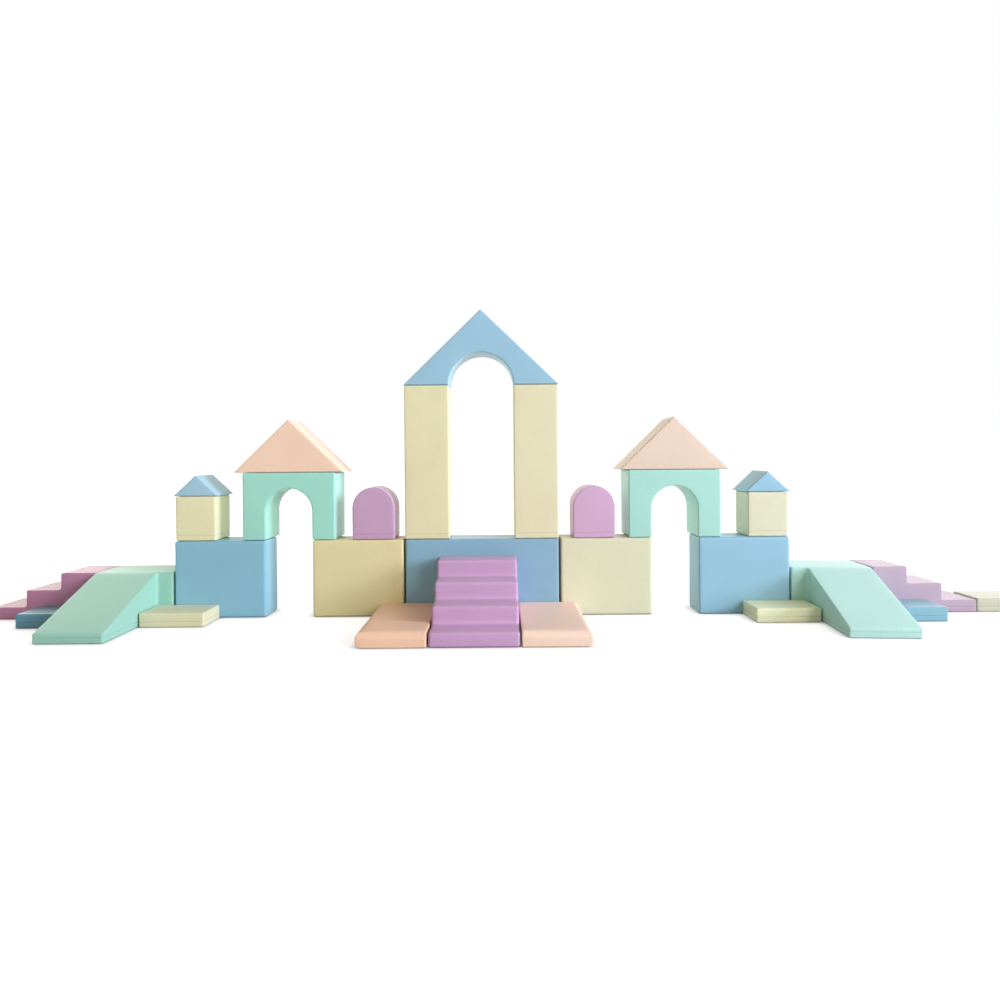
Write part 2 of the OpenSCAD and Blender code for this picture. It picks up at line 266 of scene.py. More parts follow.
def slideForm(name, spec, inset):
    low, high = modelBox(spec)
    wall = low.y + spec["rampRun"]           # front of the landing
    inner = high.x - spec["rampWidth"]       # the ramp keeps to the outer side
    edge = Vector((inset, inset, inset))
    block = startBox(name, Vector((low.x, wall, low.z)) + edge, high - edge)
    openMesh(block)
    cutThrough((inner + inset, 0, 0), (1, 0, 0))
    pickFaces(block, lambda spot, normal: normal.y < -making["facing"] and spot.x > inner + inset)
    pushOut((0, -spec["rampRun"], 0))
    front, top, near = low.y + inset, high.z - inset, making["onPlane"]
    pickPoints(block, lambda spot: spot.y < front + near and spot.z > top - near)
    slope = math.atan2(high.z - low.z - spec["toe"], spec["rampRun"])
    toe = low.z + spec["toe"] + inset * math.tan(slope) - inset / math.cos(slope)
    bpy.ops.transform.translate(value=(0, 0, toe - top))
    closeMesh()
    return block


# cover making: round the sewn edges, cut the panels into a net, swell them, sew the seams

seams = {
    "width": 0.0012, "depth": 0.0012,
    "past": 0.004,          # a seam's marks run this far past its ends
    "reach": 1.25,          # and this many roundings to its sides
    "netGap": 0.004,        # the net stays this far off a rounded edge
    "zipGap": 0.007,        # and this far off the rows of the zip
}
zipParts = {
    "level": 0.03, "channel": 0.010, "sunk": 0.0052, "wall": 0.012, "play": 0.0005,     # in the back wall
    "tapeHeight": 0.009, "tapeThick": 0.0008, "tapeLift": 0.0003, "tapeLengths": 8,
    "tooth": (0.0022, 0.0013, 0.0024), "toothTop": (0.0005, 0.0004), "pitch": 0.004,
    "rowShift": 0.0009, "toothStart": 0.004, "bareEnds": 0.01,
    "slider": {"size": (0.011, 0.0030, 0.0076), "lift": 0.0, "start": 0.004},
    "pull": {"size": (0.016, 0.0010, 0.0048), "lift": 0.0030, "start": 0.009},
    "rim": (0.0008, -0.0003), "bevel": 0.0002, "smooth": math.radians(35),
}


def isSewn(edge):
    return len(edge.link_faces) == 2 and edge.calc_face_angle_signed(0) > making["sharp"]


def sharpEdges(block):
    mesh = bmesh.new()
    mesh.from_mesh(block.data)
    mesh.normal_update()
    edges = []
    for edge in mesh.edges:
        if isSewn(edge):
            a, b = (face.normal.copy() for face in edge.link_faces)
            edges.append((edge.verts[0].co.copy(), edge.verts[1].co.copy(), a, b))
    mesh.free()
    return edges


def roundEdges(block, radius, steps, wanted=None):
    openMesh(block)
    bpy.ops.mesh.select_mode(type="EDGE")
    bpy.ops.mesh.select_all(action="DESELECT")
    mesh = bmesh.from_edit_mesh(block.data)
    mesh.normal_update()
    for edge in mesh.edges:
        if isSewn(edge) and (wanted is None or wanted(edge.verts[0].co, edge.verts[1].co)):
            edge.select_set(True)
    bmesh.update_edit_mesh(block.data)
    bpy.ops.mesh.bevel(offset=radius, segments=steps, profile=0.5, affect="EDGES", clamp_overlap=True)
    closeMesh()


def spread(low, high, pitch, clear, keep):
    count = max(2, round((high - low) / pitch))
    places = [low + (high - low) * i / count for i in range(1, count)]
    return [p for p in places if all(abs(p - k) > clear for k in keep)]


def cutNet(block, spec, rows):
    points = readPoints(block)
    low, high = points.min(0), points.max(0)
    clear = spec["rounding"] + seams["netGap"]
    corners = innerCorners(spec)
    openMesh(block)
    for axis in range(3):
        normal = [0.0, 0.0, 0.0]
        normal[axis] = 1.0
        keep = [low[axis], high[axis]] + corners.get(axis, [])
        places = spread(low[axis], high[axis], spec["net"], clear, keep)
        if axis == 2:
            places = [p for p in places if all(abs(p - row) > seams["zipGap"] for row in rows)] + rows
        for place in places:
            spot = [0.0, 0.0, 0.0]
            spot[axis] = place
            cutThrough(spot, normal)
    closeMesh()


def markSeams(block, spec, edges, hem):
    points = readPoints(block)
    near = np.zeros(len(points))
    seam = np.zeros(len(points))
    panel = "XYZ".index(spec["panel"])
    for start, end, a, b in edges:
        line = np.array(end - start)
        length = np.linalg.norm(line)
        line /= length
        gap = points - np.array(start)
        along = gap @ line
        out = np.linalg.norm(gap - np.outer(along, line), axis=1)
        beside = (along > -seams["past"]) & (along < length + seams["past"])
        beside &= out < spec["rounding"] * seams["reach"]
        near[beside] = 1
        if max(abs(a[panel]), abs(b[panel])) < making["facing"]:
            continue
        across = np.array((a - b).normalized())
        depth = np.clip(1 - np.abs(gap @ across) / seams["width"], 0, 1)
        seam = np.maximum(seam, np.where(beside, depth, 0))
    if hem is not None:
        seam = np.maximum(seam, np.clip(1 - np.abs(points[:, 2] - hem) / seams["width"], 0, 1))
    for name, values in (("seam", seam), ("edge", near)):
        mark = block.data.attributes.new(name, "FLOAT", "POINT")
        mark.data.foreach_set("value", values.astype(np.float32))
    group = block.vertex_groups.new(name="sewn")
    group.add([int(i) for i in np.nonzero(near)[0]], 1.0, "REPLACE")


foamFill = {
    "pressure": 1.6, "frames": 20, "quality": 5, "mass": 0.4, "stretch": 12, "shear": 6, "bend": 0.6,
    "damping": 8, "air": 2,
    "spare": 0.0003,        # the swollen panels stay this far inside the CAD solid
}


def addCloth(block):
    cloth = block.modifiers.new("foamSwell", "CLOTH")
    settings = cloth.settings
    settings.quality = foamFill["quality"]
    settings.mass = foamFill["mass"]
    settings.tension_stiffness = foamFill["stretch"]
    settings.compression_stiffness = foamFill["stretch"]
    settings.shear_stiffness = foamFill["shear"]
    settings.bending_stiffness = foamFill["bend"]
    settings.tension_damping = foamFill["damping"]
    settings.air_damping = foamFill["air"]
    settings.use_pressure = True
    settings.uniform_pressure_force = foamFill["pressure"]
    settings.vertex_group_mass = "sewn"
    settings.effector_weights.gravity = 0
    cloth.point_cache.frame_start = 1
    cloth.point_cache.frame_end = foamFill["frames"]


def readPoints(block):
    points = np.zeros(len(block.data.vertices) * 3)
    block.data.vertices.foreach_get("co", points)
    return points.reshape(-1, 3)


def writePoints(block, points):
    block.data.vertices.foreach_set("co", points.ravel())
    block.data.update()


def readMark(block, name):
    values = np.zeros(len(block.data.vertices), np.float32)
    block.data.attributes[name].data.foreach_get("value", values)
    return values.astype(float)


def readNormals(block):
    normals = np.zeros(len(block.data.vertices) * 3)
    block.data.vertices.foreach_get("normal", normals)
    return normals.reshape(-1, 3)


def sewSeams(block, spec):
    points = readPoints(block)
    points -= readNormals(block) * (readMark(block, "seam") * seams["depth"])[:, None]
    level, reach, middle, back = (spec["zip"][key] for key in ("level", "reach", "x", "back"))
    low, high = level - zipParts["play"], level + zipParts["channel"] + zipParts["play"]
    inside = (
        (points[:, 1] > back - zipParts["wall"]) & (np.abs(points[:, 0] - middle) < reach)
        & (points[:, 2] > low) & (points[:, 2] < high))
    points[inside, 1] = np.minimum(points[inside, 1], back - zipParts["sunk"])
    writePoints(block, points)


def startCover(spec):
    low, high = modelBox(spec)
    block = spec["form"](spec["name"] + "Model", spec, spec["crown"])
    edges = sharpEdges(block)
    if "nose" in spec:       # the outer side and the front top edge are rolled over
        near = spec["crown"] + making["onPlane"]
        roundEdges(block, spec["nose"], making["noseSteps"], lambda a, b: (
            (min(a.x, b.x) > high.x - near and abs(a.z - b.z) < near)
            or (min(a.z, b.z) > high.z - near and max(a.y, b.y) < low.y + near)))
    roundEdges(block, spec["rounding"], making["seamSteps"])
    level, half = low.z + spec.get("zipLevel", zipParts["level"]), zipParts["channel"] / 2
    spec["zip"] = {
        "level": level, "reach": spec["zipLength"] / 2, "back": high.y, "x": (low.x + high.x) / 2}
    cutNet(block, spec, [level + half * row for row in range(-1, 4)])
    markSeams(block, spec, edges, level + half if spec.get("hem") else None)
    spec["block"] = block


def swellCovers(specs):
    for spec in specs:
        addCloth(spec["block"])
    for step in range(1, foamFill["frames"] + 1):
        scene.frame_set(step)
    for spec in specs:
        block = spec["block"]
        rest = readPoints(block)
        applyModifier(block, block.modifiers["foamSwell"])
        moved = readPoints(block) - rest
        far = np.maximum(np.linalg.norm(moved, axis=1), 1e-9)
        limit = spec["crown"] - foamFill["spare"]
        print("castle: %s swells %.1f mm, kept to %.1f" % (block.name, 1000 * far.max(), 1000 * limit))
        writePoints(block, rest + moved * (limit * np.tanh(far / limit) / far)[:, None])
    scene.frame_set(1)


def finishCover(spec):
    block = spec["block"]
    smooth = block.modifiers.new("softSkin", "SUBSURF")
    smooth.levels = 1
    smooth.render_levels = 1
    applyModifier(block, smooth)
    sewSeams(block, spec)
    bpy.ops.object.shade_smooth()


coreFoam = {"inset": 0.011, "rounding": 0.007, "steps": 2, "smooth": math.radians(40)}


def makeCore(spec):
    core = spec["form"](spec["name"] + "ModelCore", spec, coreFoam["inset"])
    roundEdges(core, coreFoam["rounding"], coreFoam["steps"])
    bpy.ops.object.shade_smooth_by_angle(angle=coreFoam["smooth"])
    spec["core"] = core


def roundAll(block, radius):
    openMesh(block)
    bpy.ops.mesh.select_all(action="SELECT")
    bpy.ops.mesh.bevel(offset=radius, segments=1, affect="EDGES")
    closeMesh()


def dress(block, material):
    block.data.materials.clear()
    block.data.materials.append(material)


def zipBox(name, size, place, rim):
    # a small box whose outer face is inset and raised or sunk
    left, back, centre = place
    long, deep, tall = size
    box = startBox(name, (left, back, centre - tall / 2), (left + long, back + deep, centre + tall / 2))
    openMesh(box)
    pickFaces(box, lambda spot, normal: normal.y > making["facing"])
    bpy.ops.mesh.inset(thickness=rim[0])
    bpy.ops.transform.translate(value=(0, rim[1], 0))
    closeMesh()
    return box


def makeZip(spec):
    at = spec["zip"]
    start, length = at["x"] - at["reach"], 2 * at["reach"]
    centre = at["level"] + zipParts["channel"] / 2
    floor = at["back"] - zipParts["sunk"] + zipParts["tapeLift"]       # the tape lies in the sunk channel
    top = floor + zipParts["tapeThick"]
    half = zipParts["tapeHeight"] / 2
    tape = startBox(
        spec["name"] + "ModelZip", (start, floor, centre - half), (start + length, top, centre + half))
    openMesh(tape)
    for part in range(1, zipParts["tapeLengths"]):
        cutThrough((start + length * part / zipParts["tapeLengths"], 0, 0), (1, 0, 0))
    closeMesh()
    roundAll(tape, zipParts["bevel"])
    dress(tape, finishes["zipTape"])
    parts = [tape]
    pitch = zipParts["pitch"]
    for row, shift in ((-zipParts["rowShift"], 0.0), (zipParts["rowShift"], pitch / 2)):
        left = start + zipParts["toothStart"] + shift
        tooth = zipBox("tooth", zipParts["tooth"], (left, top, centre + row), zipParts["toothTop"])
        chain = tooth.modifiers.new("chain", "ARRAY")
        chain.use_relative_offset = False
        chain.use_constant_offset = True
        chain.constant_offset_displace = (pitch, 0, 0)
        chain.count = int((length - zipParts["bareEnds"]) / pitch)
        applyModifier(tooth, chain)
        dress(tooth, finishes["zipTeeth"])
        parts.append(tooth)
    for kind in ("slider", "pull"):
        part = zipParts[kind]
        place = (start + part["start"], top + part["lift"], centre)
        metal = zipBox(kind, part["size"], place, zipParts["rim"])
        roundAll(metal, zipParts["bevel"])
        dress(metal, finishes["zipMetal"])
        parts.append(metal)
    bpy.ops.object.select_all(action="DESELECT")
    for part in parts:
        part.select_set(True)
    bpy.context.view_layer.objects.active = tape
    bpy.ops.object.join()
    bpy.ops.object.shade_smooth_by_angle(angle=zipParts["smooth"])
    spec["fastener"] = tape


# finishes

def addNode(tree, kind, values=None, **settings):
    node = tree.nodes.new(kind)
    for key, value in settings.items():
        setattr(node, key, value)
    for key, value in (values or {}).items():
        node.inputs[key].default_value = value
    return node


def mathNode(tree, operation, first, second):
    node = addNode(tree, "ShaderNodeMath", operation=operation)
    for socket, value in zip(node.inputs, (first, second)):
        if isinstance(value, (int, float)):
            socket.default_value = value
        else:
            tree.links.new(value, socket)
    return node.outputs[0]


def rangeNode(tree, value, fromLow, fromHigh, toLow, toHigh):
    node = addNode(tree, "ShaderNodeMapRange")
    tree.links.new(value, node.inputs["Value"])
    for key, number in (("From Min", fromLow), ("From Max", fromHigh), ("To Min", toLow), ("To Max", toHigh)):
        node.inputs[key].default_value = number
    return node.outputs["Result"]


def noiseNode(tree, place, scale, detail=2.0, roughness=0.5, distortion=0.0):
    node = addNode(tree, "ShaderNodeTexNoise", {
        "Scale": scale, "Detail": detail, "Roughness": roughness, "Distortion": distortion})
    tree.links.new(place, node.inputs["Vector"])
    return node.outputs["Fac"]


leatherGrain = {
    "used": (0.3, 0.7),                              # the part of the noises that counts
    "clouds": 2.4, "cloudTone": (0.965, 1.03),
    "mottle": 42.0, "mottleTone": (0.985, 1.012), "mottleRough": (0.44, 0.52),
    "rub": 75.0, "rubFrom": (0.45, 0.7), "rubTone": 1.06, "rubGloss": 0.06,
    # painted shade along the seams and hem, as a factor of the colour
    "seamPaintedShade": 0.86,
    "pebble": (640.0, 0.00003), "pores": (1700.0, 0.00001), "waves": (4.6, 0.0009), "tucks": (52.0, 0.00045),
    "bump": 0.4,
}
leatherGloss = {
    "Specular IOR Level": 0.3, "Sheen Weight": 0.05, "Sheen Roughness": 0.4,
    "Coat Weight": 0.08, "Coat Roughness": 0.3,
}


def leatherGroup():
    # artificial leather: dye clouds, rubbed edges, painted shade in the seams, pebble grain, slack waves
    tree = bpy.data.node_groups.new("sewnLeather", "ShaderNodeTree")
    for name, kind in (
            ("Place", "NodeSocketVector"), ("Dye", "NodeSocketColor"),
            ("Seam", "NodeSocketFloat"), ("Edge", "NodeSocketFloat")):
        tree.interface.new_socket(name, in_out="INPUT", socket_type=kind)
    for name, kind in (
            ("Colour", "NodeSocketColor"), ("Roughness", "NodeSocketFloat"), ("Height", "NodeSocketFloat")):
        tree.interface.new_socket(name, in_out="OUTPUT", socket_type=kind)
    given = tree.nodes.new("NodeGroupInput")
    result = tree.nodes.new("NodeGroupOutput")
    place, seam, edge = given.outputs["Place"], given.outputs["Seam"], given.outputs["Edge"]
    grain, used = leatherGrain, leatherGrain["used"]
    clouds = rangeNode(tree, noiseNode(tree, place, grain["clouds"]), *used, *grain["cloudTone"])
    mottle = noiseNode(tree, place, grain["mottle"], detail=3.0, roughness=0.6)
    worn = rangeNode(tree, noiseNode(tree, place, grain["rub"]), *grain["rubFrom"], 0.0, 1.0)
    rub = mathNode(tree, "MULTIPLY", edge, worn)
    shade = mathNode(tree, "MULTIPLY", clouds, rangeNode(tree, mottle, *used, *grain["mottleTone"]))
    # painted shade: the colour darkens along the sunk seams and the hem
    shade = mathNode(tree, "MULTIPLY", shade, rangeNode(tree, seam, 0.0, 1.0, 1.0, grain["seamPaintedShade"]))
    shade = mathNode(tree, "MULTIPLY", shade, rangeNode(tree, rub, 0.0, 1.0, 1.0, grain["rubTone"]))
    colour = addNode(tree, "ShaderNodeVectorMath", operation="SCALE")
    tree.links.new(given.outputs["Dye"], colour.inputs[0])
    tree.links.new(shade, colour.inputs["Scale"])
    tree.links.new(colour.outputs[0], result.inputs["Colour"])
    rough = rangeNode(tree, mottle, *used, *grain["mottleRough"])
    rough = mathNode(tree, "SUBTRACT", rough, mathNode(tree, "MULTIPLY", rub, grain["rubGloss"]))
    tree.links.new(rough, result.inputs["Roughness"])
    scale, depth = grain["pebble"]
    pebble = addNode(tree, "ShaderNodeTexVoronoi", {"Scale": scale}, feature="F1")
    tree.links.new(place, pebble.inputs["Vector"])
    height = mathNode(tree, "MULTIPLY", pebble.outputs["Distance"], depth)
    for kind in ("pores", "waves"):
        scale, depth = grain[kind]
        noise = noiseNode(tree, place, scale, detail=1.0)
        height = mathNode(tree, "ADD", height, mathNode(tree, "MULTIPLY", noise, depth))
    scale, depth = grain["tucks"]       # gathered along the sewn edges only
    tucks = mathNode(tree, "MULTIPLY", noiseNode(tree, place, scale, distortion=0.7), edge)
    height = mathNode(tree, "ADD", height, mathNode(tree, "MULTIPLY", tucks, depth))
    tree.links.new(height, result.inputs["Height"])
    return tree


def coverFinish(name, dye, group):
    material = bpy.data.materials.new(name)
    material.use_nodes = True
    tree = material.node_tree
    shader = tree.nodes["Principled BSDF"]
    for socket, value in leatherGloss.items():
        shader.inputs[socket].default_value = value
    leather = addNode(tree, "ShaderNodeGroup", node_tree=group)
    leather.inputs["Dye"].default_value = (*dye, 1)
    place = addNode(tree, "ShaderNodeTexCoord")
    tree.links.new(place.outputs["Object"], leather.inputs["Place"])
    for socket, mark in (("Seam", "seam"), ("Edge", "edge")):
        source = addNode(tree, "ShaderNodeAttribute", attribute_name=mark)
        tree.links.new(source.outputs["Fac"], leather.inputs[socket])
    bump = addNode(tree, "ShaderNodeBump", {"Strength": leatherGrain["bump"], "Distance": 1.0})
    tree.links.new(leather.outputs["Height"], bump.inputs["Height"])
    tree.links.new(leather.outputs["Colour"], shader.inputs["Base Color"])
    tree.links.new(leather.outputs["Roughness"], shader.inputs["Roughness"])
    tree.links.new(bump.outputs["Normal"], shader.inputs["Normal"])
    return material


plainGrain = {
    "cells": (0.0, 0.8), "cellTone": (1.04, 0.86),       # darker between the cells
    "coarser": 4, "patches": (0.3, 0.7), "patchRough": 0.06,
}


def plainFinish(name, dye, scale, depth, rough, metallic=0.0):
    # foam cells, tape weave or brushed metal, by the scale and depth of its grain
    material = bpy.data.materials.new(name)
    material.use_nodes = True
    tree = material.node_tree
    shader = tree.nodes["Principled BSDF"]
    shader.inputs["Metallic"].default_value = metallic
    place = addNode(tree, "ShaderNodeTexCoord").outputs["Object"]
    cells = addNode(tree, "ShaderNodeTexVoronoi", {"Scale": scale}, feature="F1")
    tree.links.new(place, cells.inputs["Vector"])
    tone = rangeNode(tree, cells.outputs["Distance"], *plainGrain["cells"], *plainGrain["cellTone"])
    colour = addNode(tree, "ShaderNodeVectorMath", operation="SCALE")
    colour.inputs[0].default_value = dye
    tree.links.new(tone, colour.inputs["Scale"])
    tree.links.new(colour.outputs[0], shader.inputs["Base Color"])
    patches = noiseNode(tree, place, scale / plainGrain["coarser"])
    more = plainGrain["patchRough"]
    patches = rangeNode(tree, patches, *plainGrain["patches"], rough - more, rough + more)
    tree.links.new(patches, shader.inputs["Roughness"])
    bump = addNode(tree, "ShaderNodeBump", {"Strength": 1.0, "Distance": depth})
    tree.links.new(cells.outputs["Distance"], bump.inputs["Height"])
    tree.links.new(bump.outputs["Normal"], shader.inputs["Normal"])
    return material


dyes = {
    "blue_cover": (0.290, 0.515, 0.645),
    "cream_cover": (0.735, 0.685, 0.450),
    "lilac_cover": (0.575, 0.350, 0.530),
    "mint_cover": (0.385, 0.695, 0.600),
    "peach_cover": (0.885, 0.625, 0.495),
}
palestDye = 0.9       # no cover's dye, its painted light included, is paler than this
sewnLeather = leatherGroup()
finishes = {}
for slot, dye in dyes.items():
    finishes[slot] = coverFinish(slot.replace("_cover", "Leather"), dye, sewnLeather)
finishes["foam"] = plainFinish("openFoam", (0.80, 0.77, 0.68), 700.0, 0.0006, 0.9)
finishes["zipTape"] = plainFinish("zipTape", (0.70, 0.69, 0.64), 1400.0, 0.0001, 0.75)
finishes["zipTeeth"] = plainFinish("zipTeeth", (0.78, 0.77, 0.72), 900.0, 0.00005, 0.4)
finishes["zipMetal"] = plainFinish("zipMetal", (0.56, 0.56, 0.55), 1200.0, 0.00003, 0.35, 1.0)
print("castle: finishes made")


# the blocks: modelled on the right-hand one where there are two, and the slide on the
# left-hand one flipped over, because the right-hand one stands turned
# rolls: painted light and shade on each copy's cover, lighter where it is lit and darker where it is shaded,
# as factors of its dye
# climb: the axis along which steps rise, and its sense

centreBase = {
    "name": "centreBase", "form": boxForm, "model": "centre_base_cover", "panel": "Y",
    "rounding": 0.011, "crown": 0.0013, "slack": 0.002, "net": 0.026, "zipLength": 0.92,
    "copies": (("centre_base_cover", "foundation", "blue_cover", "same"),),
    "rolls": {"centre_base_cover": (0.8, 0.8, 0.8)},
}
wingBase = {
    "name": "wingBase", "form": boxForm, "model": "right_inner_base_cover", "panel": "Y",
    "rounding": 0.011, "crown": 0.0013, "slack": 0.002, "net": 0.026, "zipLength": 0.515,
    "copies": (
        ("right_inner_base_cover", "foundation", "cream_cover", "same"),
        ("left_inner_base_cover", "foundation", "cream_cover", "mirror"),
        ("right_outer_base_cover", "foundation", "blue_cover", "same"),
        ("left_outer_base_cover", "foundation", "blue_cover", "mirror")),
    "rolls": {
        "left_inner_base_cover": (1, 0.95, 0.8), "right_inner_base_cover": (0.95, 1, 1.05),
        "left_outer_base_cover": (0.85, 0.95, 0.95)},
}
pillar = {
    "name": "pillar", "form": boxForm, "model": "right_pillar_cover", "panel": "Y", "hem": True,
    "rounding": 0.007, "crown": 0.0013, "net": 0.026, "zipLength": 0.21,
    "copies": (
        ("right_pillar_cover", "right_pillar", "cream_cover", "same"),
        ("left_pillar_cover", "left_pillar", "cream_cover", "mirror")),
    "rolls": {"left_pillar_cover": (1, 1, 0.95)},
}
gable = {
    "name": "gable", "form": gableForm, "model": "gable_cover", "panel": "Y", "tip": 0.008, "opening": 0.21,
    "rounding": 0.006, "crown": 0.0013, "net": 0.024, "zipLength": 0.3014, "zipLevel": 0.29,
    "copies": (("gable_cover", "gable", "blue_cover", "same"),),
    "rolls": {"gable_cover": (1.05, 1, 1)},
}
dome = {
    "name": "dome", "form": domeForm, "model": "right_dome_cover", "panel": "Y", "hem": True,
    "rounding": 0.007, "crown": 0.0013, "net": 0.020, "zipLength": 0.195,
    "copies": (
        ("right_dome_cover", "right_dome", "lilac_cover", "same"),
        ("left_dome_cover", "left_dome", "lilac_cover", "same")),
    "rolls": {"left_dome_cover": (0.95, 0.95, 0.95), "right_dome_cover": (1.05, 1.1, 1.05)},
}
arch = {
    "name": "arch", "form": archForm, "model": "right_arch_cover", "panel": "Y",
    "openingWidth": 0.3, "openingHeight": 0.335, "rounding": 0.007, "crown": 0.0013, "net": 0.022,
    "zipLength": 0.52, "zipLevel": 0.3875,
    "copies": (
        ("right_arch_cover", "right_arch", "mint_cover", "same"),
        ("left_arch_cover", "left_arch", "mint_cover", "mirror")),
    "rolls": {"left_arch_cover": (0.9, 1, 0.95)},
}
gateRoof = {
    "name": "gateRoof", "form": roofForm, "model": "right_gate_roof_cover", "panel": "Y", "tip": 0.008,
    "rounding": 0.006, "crown": 0.0013, "net": 0.024, "zipLength": 0.5376,
    "copies": (
        ("right_gate_roof_cover", "right_gate_roof", "peach_cover", "same"),
        ("left_gate_roof_cover", "left_gate_roof", "peach_cover", "mirror")),
    "rolls": {"left_gate_roof_cover": (1, 1, 0.95), "right_gate_roof_cover": (0.85, 0.95, 0.95)},
}
turretCube = {
    "name": "turretCube", "form": boxForm, "model": "right_cube_cover", "panel": "Y", "hem": True,
    "rounding": 0.007, "crown": 0.0013, "net": 0.020, "zipLength": 0.18,
    "copies": (
        ("right_cube_cover", "right_cube", "cream_cover", "same"),
        ("left_cube_cover", "left_cube", "cream_cover", "mirror")),
    "rolls": {"left_cube_cover": (1.1, 1.1, 1.05), "right_cube_cover": (0.95, 1, 1.1)},
}
turretRoof = {
    "name": "turretRoof", "form": roofForm, "model": "right_turret_roof_cover", "panel": "Y", "tip": 0.008,
    "rounding": 0.006, "crown": 0.0013, "net": 0.018, "zipLength": 0.1138,
    "copies": (
        ("right_turret_roof_cover", "right_turret_roof", "blue_cover", "same"),
        ("left_turret_roof_cover", "left_turret_roof", "blue_cover", "mirror")),
    "rolls": {"left_turret_roof_cover": (1.25, 1.1, 1.05)},
}
stairs = {
    "name": "stairs", "form": stepsForm, "model": "stairs_cover", "panel": "X",
    "levels": (0.085, 0.187, 0.289, 0.391), "climb": (1, 1),
    "rounding": 0.014, "crown": 0.0013, "net": 0.024, "zipLength": 0.42,
    "copies": (("stairs_cover", "stairs", "lilac_cover", "same"),),
    "rolls": {"stairs_cover": (0.95, 0.95, 1)},
}
frontMat = {
    "name": "frontMat", "form": boxForm, "model": "right_front_mat_cover", "panel": "Z",
    "nose": 0.036, "rounding": 0.007, "crown": 0.0013, "net": 0.026, "zipLength": 0.31,
    "copies": (
        ("right_front_mat_cover", "right_front_mat", "peach_cover", "same"),
        ("left_front_mat_cover", "left_front_mat", "peach_cover", "mirror")),
    "rolls": {"left_front_mat_cover": (1, 0.9, 0.8), "right_front_mat_cover": (1, 1.05, 1.05)},
}
slide = {
    "name": "slide", "form": slideForm, "model": "left_slide_cover", "flip": True, "panel": "X", "hem": True,
    "rampRun": 0.62, "rampWidth": 0.4, "toe": 0.06, "turn": 4.0, "rounding": 0.007, "crown": 0.0013,
    "net": 0.026, "zipLength": 0.425,
    "copies": (
        ("right_slide_cover", "right_slide", "mint_cover", "turned"),
        ("left_slide_cover", "left_slide", "mint_cover", "mirror")),
    "rolls": {"left_slide_cover": (0.85, 0.85, 0.8), "right_slide_cover": (1.2, 1.05, 1.1)},
}
sideSteps = {
    "name": "sideSteps", "form": stepsForm, "model": "right_side_steps_cover", "panel": "Y", "hem": True,
    "levels": (0.08, 0.19, 0.3), "climb": (0, -1),
    "rounding": 0.007, "crown": 0.0013, "net": 0.025, "zipLength": 0.595,
    "copies": (
        ("right_side_steps_cover", "right_side_steps", "lilac_cover", "same"),
        ("left_side_steps_cover", "left_side_steps", "lilac_cover", "mirror")),
    "rolls": {"left_side_steps_cover": (0.85, 0.6, 0.65), "right_side_steps_cover": (0.85, 1.05, 0.85)},
}
smallMat = {
    "name": "smallMat", "form": boxForm, "model": "right_inner_mat_cover", "panel": "Z", "hem": True,
    "rounding": 0.007, "crown": 0.0013, "net": 0.022, "zipLength": 0.32,
    "copies": (
        ("right_inner_mat_cover", "right_inner_mat", "cream_cover", "same"),
        ("left_inner_mat_cover", "left_inner_mat", "cream_cover", "same"),
        ("right_end_mat_cover", "right_end_mat", "cream_cover", "same")),
    "rolls": {"right_inner_mat_cover": (1.15, 1.25, 1.25), "right_end_mat_cover": (0.8, 0.85, 0.95)},
}
outerMat = {
    "name": "outerMat", "form": boxForm, "model": "right_outer_mat_cover", "panel": "Z", "hem": True,
    "rounding": 0.007, "crown": 0.0013, "net": 0.022, "zipLength": 0.27,
    "copies": (
        ("right_outer_mat_cover", "right_outer_mat", "blue_cover", "same"),
        ("left_outer_mat_cover", "left_outer_mat", "blue_cover", "same")),
    "rolls": {"left_outer_mat_cover": (0.4, 0.55, 0.6), "right_outer_mat_cover": (0.8, 0.85, 0.8)},
}
blocks = (
    centreBase, wingBase, pillar, gable, dome, arch, gateRoof, turretCube, turretRoof,
    stairs, frontMat, slide, sideSteps, smallMat, outerMat)


def innerCorners(spec):
    # planes of the block's inner corners, which the net keeps away from
    low, high = modelBox(spec)
    inset = spec["crown"]
    if "climb" in spec:
        levels, (axis, sense) = spec["levels"], spec["climb"]
        first = low[axis] if sense > 0 else high[axis]
        run = sense * (high[axis] - low[axis])
        return {
            axis: [first + run * i / len(levels) + sense * inset for i in range(1, len(levels))],
            2: [low.z + level - inset for level in levels[:-1]]}
    if spec is slide:
        return {0: [high.x - spec["rampWidth"] + inset], 1: [low.y + spec["rampRun"] + inset]}
    return {}


for spec in blocks:
    startCover(spec)
    print("castle:", spec["name"], "cut and rounded,", len(spec["block"].data.vertices), "points")
swellCovers(blocks)
for spec in blocks:
    finishCover(spec)
    makeCore(spec)
    makeZip(spec)
print("castle: covers swollen and sewn, cores and zips made")


def camel(node):
    words = node.split("_")
    return words[0] + "".join(word.capitalize() for word in words[1:])


def placeCopy(source, name, move, flipped):
    piece = source.copy()
    piece.data = source.data.copy()
    piece.name = name
    piece.data.name = name
    scene.collection.objects.link(piece)
    piece.data.transform(move)
    if flipped:
        openMesh(piece)
        bpy.ops.mesh.select_all(action="SELECT")
        bpy.ops.mesh.normals_make_consistent(inside=False)
        closeMesh()
    return piece


def centreOf(box):
    return (box[0] + box[1]) / 2


